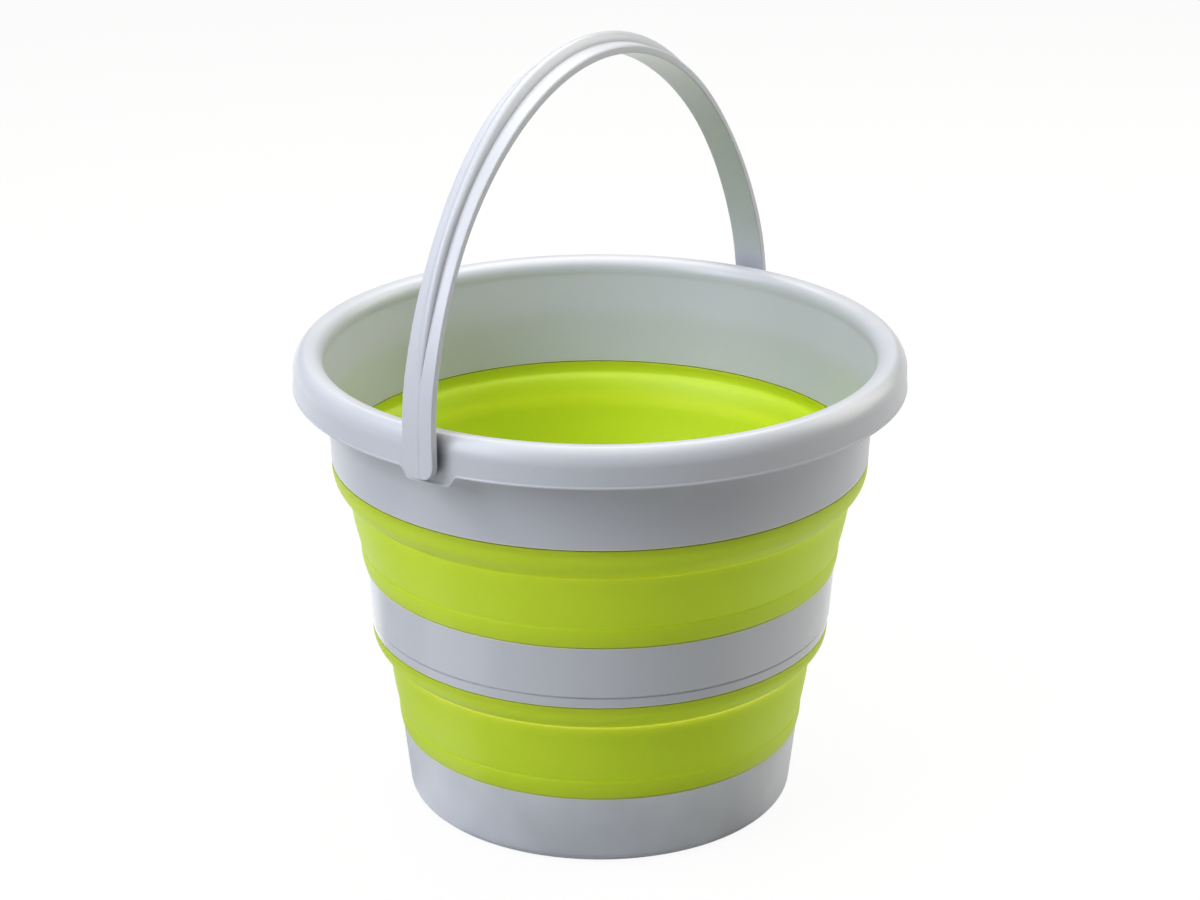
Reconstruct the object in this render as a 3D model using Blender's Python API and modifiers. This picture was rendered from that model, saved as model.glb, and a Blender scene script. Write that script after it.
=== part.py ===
"""A collapsible camp bucket, standing open.

Three hard plastic rings, the base cup, the middle ring and the rim collar, are joined by two soft bands
that roll over on themselves when the bucket is pushed flat. A strap bail clips into the rim.
Metres, +Z up. The origin is the centre of the foot, and the bail swings about an axis along X.
"""

import math

import bmesh
import bpy
from mathutils import Matrix

# Heights of the open bucket, from the floor up
BASE_HEIGHT = 0.039
LOWER_BAND_HEIGHT = 0.058
MID_RING_HEIGHT = 0.034
UPPER_BAND_HEIGHT = 0.0585
COLLAR_HEIGHT = 0.0495
ROLL_HEIGHT = 0.009

# Outer radii, from the foot outwards: each ring stands a step outside the one below it
FOOT_RADIUS = 0.0968
FOOT_FILLET = 0.0055
BASE_FLARE = 0.0038
LOWER_BAND_STEP = 0.0148
MID_RING_FLARE = 0.003
UPPER_BAND_STEP = 0.0158
COLLAR_FLARE = 0.0045

# Walls of the hard rings, and the tongues that the soft bands are moulded on
RING_WALL = 0.0024
TONGUE_WALL = 0.0008
TONGUE_LENGTH = 0.003
GAP = 0.0003

# Base cup
FLOOR_WALL = 0.0026
FLOOR_FILLET = 0.005
FOOT_RIM_WIDTH = 0.007
FOOT_RECESS = 0.0014

# Groove and rounded lip along the lower edge of the middle ring
RING_LIP_HEIGHT = 0.0052
RING_GROOVE = 0.0008
RING_LIP_INSET = 0.0005

# Soft bands: a shoulder under the upper ring, a bulging wall, a lip on the lower ring. The powers say how
# late the shoulder and the wall turn inwards: 1 is straight, more is fuller.
BAND_WALL = 0.0016
BAND_BEAD = 0.0045
UPPER_SHOULDER_INSET = 0.0086
UPPER_SHOULDER_DROP = 0.018
UPPER_LIP_HEIGHT = 0.012
UPPER_LIP_FLARE = 0.002
LOWER_SHOULDER_INSET = 0.0086
LOWER_SHOULDER_DROP = 0.0143
LOWER_LIP_HEIGHT = 0.0115
LOWER_LIP_FLARE = 0.0017
SHOULDER_POWER = 2.8
WALL_POWER = 1.45

# Rolled rim and its hanging skirt. The powers shape the roll: 2 is an ellipse, less is flatter, more is
# squarer.
ROLL_INNER_REACH = 0.0097
ROLL_OUTER_REACH = 0.0065
ROLL_INNER_POWER = 2.5
ROLL_OUTER_POWER = 1.7
SKIRT_WALL = 0.0022
SKIRT_DEPTH = 0.0106
TAB_DROP = 0.0056
TAB_WIDTH = 0.023
TAB_FLARE = 0.0045
GUSSET_WALL = 0.0016
GUSSET_OFFSET = 0.0125

# Pivots of the bail
PIVOT_DROP = 0.014
PIN_RADIUS = 0.0032
PIN_HEAD_STEP = 0.001
PIN_HEAD_LENGTH = 0.0022
BOSS_RADIUS = 0.0062
BOSS_SEAT = 0.0015

# Bail: a strap with a rounded bead along the outside of its arch, which fades out towards the ears
BAIL_STANDOFF = 0.0044
BAIL_CROWN = 0.0028
BAIL_ARCH_DROP = 0.0045
BAIL_HALF_WIDTH = 0.0086
BAIL_EDGE = 0.004
BAIL_ROUND = 0.0008
EAR_DROP = 0.0075
BEAD_HALF_WIDTH = 0.0061
BEAD_HEIGHT = 0.0068
BEAD_TIP_SHARE = 0.15
BEAD_START = 0.038
BEAD_FADE = 0.09
BAIL_LEAN_DEGREES = -3.4

# How far each stage slides down when the bucket is pushed flat
RING_TRAVEL = 0.0905
COLLAR_TRAVEL = 0.09
BAIL_SWING_DEGREES = 105

# Fineness
TURN_STEPS = 60
ROLL_STEPS = 6
SHOULDER_STEPS = 3
BAND_STEPS = 3
FILLET_STEPS = 3
TAB_STEPS = 4
PIN_STEPS = 24
ARCH_STEPS = 32
EAR_STEPS = 3
BEAD_STEPS = 4
MERGE = 0.00001
CUTTER_OVERRUN = 0.004

# Places that follow from the sizes above
BASE_TOP = BASE_HEIGHT
RING_BOTTOM = BASE_TOP + LOWER_BAND_HEIGHT
RING_TOP = RING_BOTTOM + MID_RING_HEIGHT
COLLAR_BOTTOM = RING_TOP + UPPER_BAND_HEIGHT
ROLL_BOTTOM = COLLAR_BOTTOM + COLLAR_HEIGHT
RIM_TOP = ROLL_BOTTOM + ROLL_HEIGHT
SKIRT_BOTTOM = ROLL_BOTTOM - SKIRT_DEPTH
TAB_BOTTOM = SKIRT_BOTTOM - TAB_DROP
PIVOT_HEIGHT = RIM_TOP - PIVOT_DROP

BASE_WALL_RADIUS = FOOT_RADIUS + FOOT_FILLET
BASE_TOP_RADIUS = BASE_WALL_RADIUS + BASE_FLARE
RING_BOTTOM_RADIUS = BASE_TOP_RADIUS + LOWER_BAND_STEP
RING_TOP_RADIUS = RING_BOTTOM_RADIUS + MID_RING_FLARE
COLLAR_BOTTOM_RADIUS = RING_TOP_RADIUS + UPPER_BAND_STEP
COLLAR_TOP_RADIUS = COLLAR_BOTTOM_RADIUS + COLLAR_FLARE
ROLL_RADIUS = COLLAR_TOP_RADIUS - RING_WALL + ROLL_INNER_REACH
SKIRT_RADIUS = ROLL_RADIUS + ROLL_OUTER_REACH
SKIRT_INNER_RADIUS = SKIRT_RADIUS - SKIRT_WALL
BAIL_RADIUS = SKIRT_RADIUS + BAIL_STANDOFF

HARD_GREY = (0.47, 0.49, 0.55, 1.0)
SOFT_GREEN = (0.36, 0.52, 0.015, 1.0)


def clear_scene():
    for obj in list(bpy.data.objects):
        bpy.data.objects.remove(obj, do_unlink=True)


def make_collection(name, shown):
    collection = bpy.data.collections.new(name)
    collection.hide_render = not shown
    bpy.context.scene.collection.children.link(collection)
    return collection


def make_material(name, colour, roughness):
    material = bpy.data.materials.new(name)
    material.use_nodes = True
    shader = material.node_tree.nodes["Principled BSDF"]
    shader.inputs["Base Color"].default_value = colour
    shader.inputs["Roughness"].default_value = roughness
    shader.inputs["Metallic"].default_value = 0.0
    return material


def smooth(share):
    """0 below 0, 1 above 1, and an even S between."""
    share = min(max(share, 0.0), 1.0)
    return share * share * (3.0 - 2.0 * share)


def arc(centre, reach, start_degrees, end_degrees, steps, power=2.0):
    """Points of a superelliptical arc about centre, with reach (across, up), both ends included."""
    points = []
    for step in range(steps + 1):
        angle = math.radians(start_degrees + (end_degrees - start_degrees) * step / steps)
        across, up = (math.copysign(abs(part) ** (2 / power), part)
                      for part in (math.cos(angle), math.sin(angle)))
        points.append((centre[0] + reach[0] * across, centre[1] + reach[1] * up))
    return points


def falling(start, end, power, steps):
    """Points down from start to end, whose radius turns towards the end's late, by the power."""
    return [(start[0] + (end[0] - start[0]) * (step / steps) ** power,
             start[1] + (end[1] - start[1]) * step / steps) for step in range(steps + 1)]


def new_object(name, mesh, collection, material=None):
    obj = bpy.data.objects.new(name, mesh)
    collection.objects.link(obj)
    if material:
        mesh.materials.append(material)
    return obj


def turned(name, profile, closed, collection, steps, material=None):
    """Spins a profile of (radius, height) points about Z. It runs down the outer side."""
    mesh = bpy.data.meshes.new(name)
    edges = [(i, i + 1) for i in range(len(profile) - 1)]
    if closed:
        edges.append((len(profile) - 1, 0))
    mesh.from_pydata([(radius, 0.0, height) for radius, height in profile], edges, [])
    obj = new_object(name, mesh, collection, material)
    screw = obj.modifiers.new("Turn", "SCREW")
    screw.axis = "Z"
    screw.angle = math.tau
    screw.steps = steps
    screw.render_steps = steps
    screw.use_merge_vertices = True
    screw.merge_threshold = MERGE
    screw.use_smooth_shade = True
    return obj


def prism(name, outline, thickness, placing, collection):
    """A flat outline of (across, up) points, as thick as given, both ways from the plane it is placed in."""
    mesh = bpy.data.meshes.new(name)
    shape = bmesh.new()
    near = [shape.verts.new((across, -thickness / 2, up)) for across, up in outline]
    face = shape.faces.new(near)
    made = bmesh.ops.extrude_face_region(shape, geom=[face])["geom"]
    moved = [item for item in made if isinstance(item, bmesh.types.BMVert)]
    bmesh.ops.translate(shape, verts=moved, vec=(0.0, thickness, 0.0))
    bmesh.ops.recalc_face_normals(shape, faces=shape.faces)
    shape.transform(placing)
    shape.to_mesh(mesh)
    shape.free()
    return new_object(name, mesh, collection)


def as_cutter(obj):
    obj.hide_render = True
    obj.display_type = "WIRE"
    return obj


def combine(target, other, operation):
    modifier = target.modifiers.new(other.name, "BOOLEAN")
    modifier.operation = operation
    modifier.solver = "EXACT"
    modifier.object = as_cutter(other)


def tongue_down(seam_radius, seam_height):
    """The tongue under a ring's lower edge, from its outer side to its inner side."""
    middle = seam_radius - RING_WALL / 2
    outer, inner = middle + TONGUE_WALL / 2, middle - TONGUE_WALL / 2
    tip = seam_height - TONGUE_LENGTH
    return [(seam_radius, seam_height), (outer, seam_height), (outer, tip), (inner, tip),
            (inner, seam_height), (seam_radius - RING_WALL, seam_height)]


def tongue_up(seam_radius, seam_height):
    """The tongue over a ring's upper edge, from its inner side to its outer side."""
    flipped = tongue_down(seam_radius, -seam_height)
    return [(radius, -height) for radius, height in reversed(flipped)]


def socket(seam_radius, height, depth_sign):
    """The groove in a band's edge that takes a ring's tongue, from the inner lip to the outer lip."""
    middle = seam_radius - RING_WALL / 2
    half = TONGUE_WALL / 2 + GAP
    floor = height + depth_sign * TONGUE_LENGTH
    return [(seam_radius - RING_WALL, height), (middle - half, height), (middle - half, floor),
            (middle + half, floor), (middle + half, height), (seam_radius, height)]


def base_cup(collection, material):
    inner_wall = BASE_WALL_RADIUS - RING_WALL
    floor_top = FOOT_RECESS + FLOOR_WALL
    recess_radius = FOOT_RADIUS - FOOT_RIM_WIDTH
    profile = [(0.0, floor_top)]
    profile += arc((inner_wall - FLOOR_FILLET, floor_top + FLOOR_FILLET), (FLOOR_FILLET, FLOOR_FILLET),
                   -90, 0, FILLET_STEPS)
    profile += tongue_up(BASE_TOP_RADIUS, BASE_TOP)
    profile += arc((FOOT_RADIUS, FOOT_FILLET), (FOOT_FILLET, FOOT_FILLET), 0, -90, FILLET_STEPS)
    profile += [(recess_radius, 0.0), (recess_radius - FOOT_RECESS, FOOT_RECESS), (0.0, FOOT_RECESS)]
    return turned("base_cup", profile, False, collection, TURN_STEPS, material)


def mid_ring(collection, material):
    lip_top = RING_BOTTOM + RING_LIP_HEIGHT
    flare_share = RING_LIP_HEIGHT / MID_RING_HEIGHT
    face_radius = RING_BOTTOM_RADIUS + MID_RING_FLARE * flare_share + RING_LIP_INSET
    profile = tongue_up(RING_TOP_RADIUS, RING_TOP)
    profile += [(face_radius, lip_top), (face_radius - RING_GROOVE, lip_top - RING_GROOVE),
                (face_radius - RING_LIP_INSET, lip_top - 2 * RING_GROOVE)]
    profile += tongue_down(RING_BOTTOM_RADIUS, RING_BOTTOM)
    return turned("mid_ring", profile, True, collection, TURN_STEPS, material)


def fold_band(name, top, bottom, shoulder, lip, collection, material):
    """A soft band between two seams. top and bottom are (radius, height) of the rings' edges,
    shoulder is (inset, drop) under the upper ring and lip is (flare, height) over the lower one."""
    top_height, bottom_height = top[1] - GAP, bottom[1] + GAP
    corner = (top[0] - shoulder[0], top_height - shoulder[1])
    knee = (bottom[0] + lip[0], bottom_height + lip[1])
    wall = falling(corner, knee, WALL_POWER, BAND_STEPS)
    outer = falling((top[0], top_height), corner, SHOULDER_POWER, SHOULDER_STEPS)[1:-1] + wall
    inner_top = (top[0] - RING_WALL, top_height - BAND_BEAD)
    inner_wall = [(radius - BAND_WALL, height) for radius, height in wall]
    inner = falling(inner_top, inner_wall[0], SHOULDER_POWER, SHOULDER_STEPS)[:-1] + inner_wall
    inner.append((bottom[0] - RING_WALL, bottom_height + BAND_BEAD))
    profile = socket(top[0], top_height, -1) + outer
    profile += list(reversed(socket(bottom[0], bottom_height, 1))) + list(reversed(inner))
    return turned(name, profile, True, collection, TURN_STEPS, material)


def roll(inset, start_degrees, end_degrees):
    """Half the rim's rolled edge in section, that far inside its outer surface."""
    inner = start_degrees > 90 or end_degrees > 90
    reach = ROLL_INNER_REACH if inner else ROLL_OUTER_REACH
    wall = inset * RING_WALL if inner else inset * SKIRT_WALL
    rise = ROLL_HEIGHT - inset * RING_WALL
    power = ROLL_INNER_POWER if inner else ROLL_OUTER_POWER
    return arc((ROLL_RADIUS, ROLL_BOTTOM), (reach - wall, rise), start_degrees, end_degrees, ROLL_STEPS, power)


def hem_cutter(collection):
    """What is trimmed off the skirt's lower edge: all of it but the two tabs."""
    inner = SKIRT_INNER_RADIUS - CUTTER_OVERRUN
    outer = SKIRT_RADIUS + CUTTER_OVERRUN
    low = TAB_BOTTOM - CUTTER_OVERRUN
    ring = turned("hem_cutter", [(inner, SKIRT_BOTTOM), (outer, SKIRT_BOTTOM), (outer, low), (inner, low)],
                  True, collection, TURN_STEPS)
    top = SKIRT_BOTTOM + CUTTER_OVERRUN
    side = [(TAB_WIDTH / 2, low - CUTTER_OVERRUN)]
    for step in range(TAB_STEPS + 1):
        share = step / TAB_STEPS
        side.append((TAB_WIDTH / 2 + TAB_FLARE * share, TAB_BOTTOM + TAB_DROP * smooth(share)))
    side.append((TAB_WIDTH / 2 + TAB_FLARE, top))
    outline = side + [(-across, up) for across, up in reversed(side)]
    for name, sign in (("tab_shape_right", 1), ("tab_shape_left", -1)):
        placing = Matrix.Translation((sign * (inner + outer) / 2, 0.0, 0.0))
        placing @= Matrix.Rotation(math.radians(90), 4, "Z")
        tab = prism(name, outline, outer - inner + 2 * CUTTER_OVERRUN, placing, collection)
        combine(ring, tab, "DIFFERENCE")
    return ring


def gusset(name, sign, offset, collection):
    """A web between the collar wall and the skirt, which stiffens the rim beside a pivot."""
    crest = roll(0.5, 180, 90) + roll(0.5, 90, 0)[1:]
    foot = SKIRT_BOTTOM + GUSSET_WALL
    lean = COLLAR_FLARE * (ROLL_BOTTOM - foot) / COLLAR_HEIGHT
    outline = [(crest[0][0] - lean, foot)] + crest + [(crest[-1][0], foot)]
    placing = Matrix.Translation((0.0, offset, 0.0))
    if sign < 0:
        placing @= Matrix.Rotation(math.radians(180), 4, "Z")
    return prism(name, outline, GUSSET_WALL, placing, collection)


def pin_hole(name, sign, collection):
    length = SKIRT_WALL + 2 * CUTTER_OVERRUN
    hole = turned(name, [(0.0, length / 2), (PIN_RADIUS + GAP, length / 2),
                         (PIN_RADIUS + GAP, -length / 2), (0.0, -length / 2)],
                  False, collection, PIN_STEPS)
    middle = (SKIRT_RADIUS + SKIRT_INNER_RADIUS) / 2
    hole.location = (sign * middle, 0.0, PIVOT_HEIGHT)
    hole.rotation_euler = (0.0, math.radians(90), 0.0)
    return hole


def rim_collar(collection, cutters, material):
    profile = roll(0.0, 90, 0)
    profile += [(SKIRT_RADIUS, TAB_BOTTOM), (SKIRT_INNER_RADIUS, TAB_BOTTOM)]
    profile += roll(1.0, 0, 90) + roll(1.0, 90, 180)[1:]
    profile += tongue_down(COLLAR_BOTTOM_RADIUS, COLLAR_BOTTOM)
    profile += roll(0.0, 180, 90)[:-1]
    collar = turned("rim_collar", profile, True, collection, TURN_STEPS, material)
    combine(collar, hem_cutter(cutters), "DIFFERENCE")
    for side, sign in (("right", 1), ("left", -1)):
        for place, offset in (("front", -GUSSET_OFFSET), ("back", GUSSET_OFFSET)):
            combine(collar, gusset(f"gusset_{side}_{place}", sign, offset, cutters), "UNION")
        combine(collar, pin_hole(f"pin_hole_{side}", sign, cutters), "DIFFERENCE")
    return collar


def bail_section(half_width, bead):
    """One station's outline of (across, out) points, once round. bead runs from 0, a plain flat strap,
    to 1, the full rounded bead between two flat margins."""
    bead_half = BEAD_HALF_WIDTH * (BEAD_TIP_SHARE + (1 - BEAD_TIP_SHARE) * bead)
    side = [(half_width - BAIL_ROUND, 0.0), (half_width, BAIL_ROUND),
            (half_width, BAIL_EDGE - BAIL_ROUND), (half_width - BAIL_ROUND, BAIL_EDGE)]
    side += arc((0.0, BAIL_EDGE), (bead_half, BEAD_HEIGHT * bead), 0, 90, BEAD_STEPS)[:-1]
    crown = (0.0, BAIL_EDGE + BEAD_HEIGHT * bead)
    return side + [crown] + [(-across, out) for across, out in reversed(side)]


def bail_stations():
    """(x, height, turn, half_width, bead) along the inner face, from the left ear over the top."""
    arch_height = PIVOT_HEIGHT - BAIL_ARCH_DROP
    rise = BAIL_RADIUS + BAIL_CROWN
    ear_round = EAR_DROP - BAIL_ARCH_DROP
    ear = []
    for step in range(EAR_STEPS):
        angle = math.radians(90 * step / EAR_STEPS)
        height = arch_height - ear_round * math.cos(angle)
        ear.append((-BAIL_RADIUS, height, 0.0, BAIL_HALF_WIDTH - ear_round * (1 - math.sin(angle)), 0.0))
    stations = list(ear)
    for step in range(ARCH_STEPS + 1):
        angle = math.pi * step / ARCH_STEPS
        x, height = -BAIL_RADIUS * math.cos(angle), arch_height + rise * math.sin(angle)
        turn = math.atan2(BAIL_RADIUS * math.sin(angle), rise * math.cos(angle))
        grown = min(max((height - PIVOT_HEIGHT - BEAD_START) / BEAD_FADE, 0.0), 1.0)
        bead = grown * (2 - grown)
        stations.append((x, height, turn, BAIL_HALF_WIDTH, bead))
    return stations + [(-x, height, math.pi, half, bead) for x, height, _, half, bead in reversed(ear)]


def strap(collection, material):
    """The strap as a loft: the section changes along the arch, so no single swept profile makes it."""
    shape = bmesh.new()
    rings = []
    for x, height, turn, half_width, bead in bail_stations():
        out_x, out_z = -math.cos(turn), math.sin(turn)
        rings.append([shape.verts.new((x + out * out_x, across, height + out * out_z))
                      for across, out in bail_section(half_width, bead)])
    count = len(rings[0])
    for first, second in zip(rings, rings[1:]):
        for i in range(count):
            j = (i + 1) % count
            shape.faces.new((first[i], first[j], second[j], second[i]))
    shape.faces.new(rings[0])
    shape.faces.new(rings[-1])
    bmesh.ops.recalc_face_normals(shape, faces=shape.faces)
    mesh = bpy.data.meshes.new("swing_bail")
    shape.to_mesh(mesh)
    shape.free()
    mesh.shade_smooth()
    return new_object("swing_bail", mesh, collection, material)


def snap_pin(name, sign, collection):
    """The boss on an ear's inner side and the headed pin that clips through the skirt."""
    head_radius = PIN_RADIUS + PIN_HEAD_STEP
    seat = BAIL_RADIUS + BOSS_SEAT
    boss_end = SKIRT_RADIUS + GAP
    head_start = SKIRT_INNER_RADIUS - GAP
    head_end = head_start - PIN_HEAD_LENGTH
    profile = [(0.0, seat), (BOSS_RADIUS, seat), (BOSS_RADIUS, boss_end), (PIN_RADIUS, boss_end),
               (PIN_RADIUS, head_start), (head_radius, head_start),
               (PIN_RADIUS - PIN_HEAD_STEP, head_end), (0.0, head_end)]
    pin = turned(name, profile, False, collection, PIN_STEPS)
    pin.location = (0.0, 0.0, PIVOT_HEIGHT)
    pin.rotation_euler = (0.0, math.radians(sign * 90), 0.0)
    return pin


def swing_bail(collection, cutters, material):
    bail = strap(collection, material)
    for side, sign in (("right", 1), ("left", -1)):
        combine(bail, snap_pin(f"snap_pin_{side}", sign, cutters), "UNION")
    return bail


def joint(name, location, parent, limits, collection):
    """An empty on a joint's axis, with the joint's range noted on it."""
    empty = bpy.data.objects.new(name, None)
    empty.location = location
    empty["limits"] = limits
    empty.parent = parent
    collection.objects.link(empty)
    return empty


def hang_on(obj, empty):
    """Parents obj to the empty and leaves it where it is."""
    bpy.context.view_layer.update()
    obj.parent = empty
    obj.matrix_parent_inverse = empty.matrix_world.inverted()


def build():
    clear_scene()
    parts = make_collection("collapsible_camp_bucket", True)
    cutters = make_collection("cutters", False)

    base_cup(parts, make_material("base_cup_plastic", HARD_GREY, 0.45))
    ring = mid_ring(parts, make_material("mid_ring_plastic", HARD_GREY, 0.3))
    collar = rim_collar(parts, cutters, make_material("rim_collar_plastic", HARD_GREY, 0.35))
    bail = swing_bail(parts, cutters, make_material("swing_bail_plastic", HARD_GREY, 0.35))
    fold_band("lower_fold_band", (RING_BOTTOM_RADIUS, RING_BOTTOM), (BASE_TOP_RADIUS, BASE_TOP),
              (LOWER_SHOULDER_INSET, LOWER_SHOULDER_DROP), (LOWER_LIP_FLARE, LOWER_LIP_HEIGHT),
              parts, make_material("lower_band_rubber", SOFT_GREEN, 0.5))
    upper = fold_band("upper_fold_band", (COLLAR_BOTTOM_RADIUS, COLLAR_BOTTOM), (RING_TOP_RADIUS, RING_TOP),
                      (UPPER_SHOULDER_INSET, UPPER_SHOULDER_DROP), (UPPER_LIP_FLARE, UPPER_LIP_HEIGHT),
                      parts, make_material("upper_band_rubber", SOFT_GREEN, 0.5))

    ring_slide = joint("ring_slide", (0.0, 0.0, 0.0), None, (-RING_TRAVEL, 0.0), parts)
    collar_slide = joint("collar_slide", (0.0, 0.0, 0.0), ring_slide, (-COLLAR_TRAVEL, 0.0), parts)
    swing = joint("bail_swing", (0.0, 0.0, PIVOT_HEIGHT), collar_slide,
                  (-BAIL_SWING_DEGREES, BAIL_SWING_DEGREES), parts)
    for obj, empty in ((ring, ring_slide), (upper, ring_slide), (collar, collar_slide), (bail, swing)):
        hang_on(obj, empty)
    swing.rotation_euler = (math.radians(BAIL_LEAN_DEGREES), 0.0, 0.0)


build()
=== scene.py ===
# %% [markdown]
# # A collapsible camp bucket, dressed for its picture
#
# The bucket is three hard plastic rings joined by two soft green bands, with a strap bail clipped
# into the rim. The fixed frame that this script loads has the right sizes and the right joints, but its
# round pieces are turned in sixty steps, so they show flats. Every piece is therefore made again here
# as a fine surface that fills the same space, and gets the finish that such a moulding has.
#
# Each new surface is a formula of two numbers: one runs along a profile or a path, the other round it.

import bmesh
import bpy
import numpy as np
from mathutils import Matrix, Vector


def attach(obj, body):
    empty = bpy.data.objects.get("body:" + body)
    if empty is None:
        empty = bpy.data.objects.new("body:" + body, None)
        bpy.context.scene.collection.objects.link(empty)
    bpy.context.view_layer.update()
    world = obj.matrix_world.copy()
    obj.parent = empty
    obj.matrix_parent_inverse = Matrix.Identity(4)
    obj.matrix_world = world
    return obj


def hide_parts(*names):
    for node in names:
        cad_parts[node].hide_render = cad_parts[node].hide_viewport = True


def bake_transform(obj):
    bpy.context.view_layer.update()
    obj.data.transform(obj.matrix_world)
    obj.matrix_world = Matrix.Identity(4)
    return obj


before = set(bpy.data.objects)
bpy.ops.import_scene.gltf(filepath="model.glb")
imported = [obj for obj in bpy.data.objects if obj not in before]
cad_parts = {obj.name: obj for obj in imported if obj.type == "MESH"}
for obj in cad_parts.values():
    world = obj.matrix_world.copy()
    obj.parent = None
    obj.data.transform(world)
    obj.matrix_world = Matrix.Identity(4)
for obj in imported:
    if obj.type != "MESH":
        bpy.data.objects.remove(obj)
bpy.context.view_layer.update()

# %% [markdown]
# ## Sizes
#
# Sizes are in millimetres, as a mould maker would write them, and are turned into metres only where
# a mesh is filled. A height is measured from the floor and a radius from the bucket's axis. Four seams
# divide the bucket, and the walls of its hard rings are all equally thick.

# %% Sizes of the bucket
MM = 0.001
SEAM_BASE, SEAM_RING_LOW, SEAM_RING_TOP, SEAM_COLLAR = 39.0, 97.0, 131.0, 189.5
BASE_RADIUS, RING_LOW_RADIUS, RING_TOP_RADIUS, COLLAR_RADIUS = 106.1, 120.9, 123.9, 139.7
WALL = 2.4
print("seams at", SEAM_BASE, SEAM_RING_LOW, SEAM_RING_TOP, "and", SEAM_COLLAR, "mm")

# %% [markdown]
# ## Profiles with rounded corners
#
# A moulded edge is never sharp: the steel of the mould is cut with a round tool, and the light that
# runs along such an edge is what makes a picture of plastic believable. So a profile is written as its
# few corners, each with its own radius, and the arcs are worked out.

# %% Round the corners of a profile
NEARLY_STRAIGHT = 0.004


def ease(share):
    """An even S from 0 to 1: three times the square less twice the cube, flat outside that."""
    share = np.clip(share, 0.0, 1.0)
    return share * share * (3.0 - 2.0 * share)


def rounded(corners, steps=6):
    """Rounds a closed profile. corners holds (radius, height, rounding) rows.

    With unit vectors a and b from a corner to its neighbours, the arc's ends lie rounding / tan(half
    the angle between them) along a and b, and its centre lies rounding / sin(that half angle) along
    a + b. Between its ends the arc swings evenly, as a slerp of its two end radii.
    """
    table = np.asarray(corners, float)
    point, size = table[:, :2], np.maximum(table[:, 2:3], 1e-4)
    before, after = np.roll(point, 1, axis=0) - point, np.roll(point, -1, axis=0) - point
    a = before / np.linalg.norm(before, axis=1, keepdims=True)
    b = after / np.linalg.norm(after, axis=1, keepdims=True)
    half = np.arccos(np.clip((a * b).sum(1, keepdims=True), -1, 1)) / 2
    straight = half > np.pi / 2 - NEARLY_STRAIGHT
    half = np.where(straight, np.pi / 4, half)
    middle = a + b
    middle = middle / np.maximum(np.linalg.norm(middle, axis=1, keepdims=True), 1e-9)
    centre = point + middle * size / np.sin(half)
    start = point + a * size / np.tan(half) - centre
    end = point + b * size / np.tan(half) - centre
    swing = (np.pi - 2 * half)[:, None]
    t = np.linspace(0, 1, steps)[None, :, None]
    arc = (np.sin((1 - t) * swing) * start[:, None] + np.sin(t * swing) * end[:, None]) / np.sin(swing)
    arc = arc + centre[:, None]
    arc = np.where(straight[:, None], point[:, None], arc)
    return drop_doubles(arc.reshape(-1, 2))


def drop_doubles(line, closed=True):
    """Leaves out every point that lies within a thousandth of a millimetre of the one before it."""
    step = np.linalg.norm(line - np.roll(line, 1, axis=0), axis=1)
    keep = step > 1e-3
    if not closed:
        keep[0] = True
    return line[keep]


def filled_in(line, spacing, closed=True):
    """Adds points to a profile, so that no step along it is longer than the spacing."""
    ends = np.vstack([line, line[:1]]) if closed else line
    length = np.concatenate([[0], np.cumsum(np.linalg.norm(np.diff(ends, axis=0), axis=1))])
    even = np.linspace(0, length[-1], int(length[-1] / spacing) + 2)
    gap = np.abs(even[:, None] - length[None, :]).min(1)
    places = np.sort(np.concatenate([length, even[gap > spacing * 0.35]]))
    if closed:
        places = places[:-1]
    return np.column_stack([np.interp(places, length, ends[:, k]) for k in (0, 1)])


def quarter(centre, reach, start, end, steps=14, power=2.0):
    """Points of a superellipse's arc, angles in degrees: centre + reach * |part| ** (2 / power) with the
    part's own sign, where the parts are cos across and sin up. Power 2 is an ellipse, less is flatter,
    more is squarer."""
    angle = np.radians(np.linspace(start, end, steps))
    part = np.column_stack([np.cos(angle), np.sin(angle)])
    return np.asarray(centre) + np.asarray(reach) * np.sign(part) * np.abs(part) ** (2 / power)


def falling(start, end, power, steps=24):
    """Points from start to end, even in height, whose radius moves by the share of the way ** power. With
    a power over 1 the line leaves start nearly straight down and turns in late, and with one under 1 it
    turns in at once and ends nearly straight down."""
    share = np.linspace(0, 1, steps)[:, None]
    return np.asarray(start) + (np.asarray(end) - np.asarray(start)) * np.hstack([share**power, share])


def softened(line, reach, spacing=0.4):
    """Rounds an open line's corners. It is resampled evenly and averaged under a bell curve of this reach
    in millimetres. Past each end it is continued half turned, so the ends stay where they are."""
    length = np.concatenate([[0], np.cumsum(np.linalg.norm(np.diff(line, axis=0), axis=1))])
    even = np.linspace(0, length[-1], int(length[-1] / spacing) + 2)
    points = np.column_stack([np.interp(even, length, line[:, k]) for k in (0, 1)])
    half = min(int(3 * reach / spacing), len(points) - 1)
    bell = np.exp(-0.5 * (np.arange(-half, half + 1) * spacing / reach) ** 2)
    before, after = 2 * points[0] - points[half:0:-1], 2 * points[-1] - points[-2:-half - 2:-1]
    longer = np.vstack([before, points, after])
    return np.column_stack([np.convolve(longer[:, k], bell / bell.sum(), "valid") for k in (0, 1)])


square = rounded([(0, 0, 1), (10, 0, 1), (10, 10, 1), (0, 10, 1)])
print("a square of 10 mm with rounded corners has", len(square), "points")

# %% [markdown]
# ## Grids that close on themselves
#
# A turned piece and a lofted strap are the same thing to a mesh: a grid of points whose rows close
# round, and perhaps its columns too. One helper fills the mesh for all of them.

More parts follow.
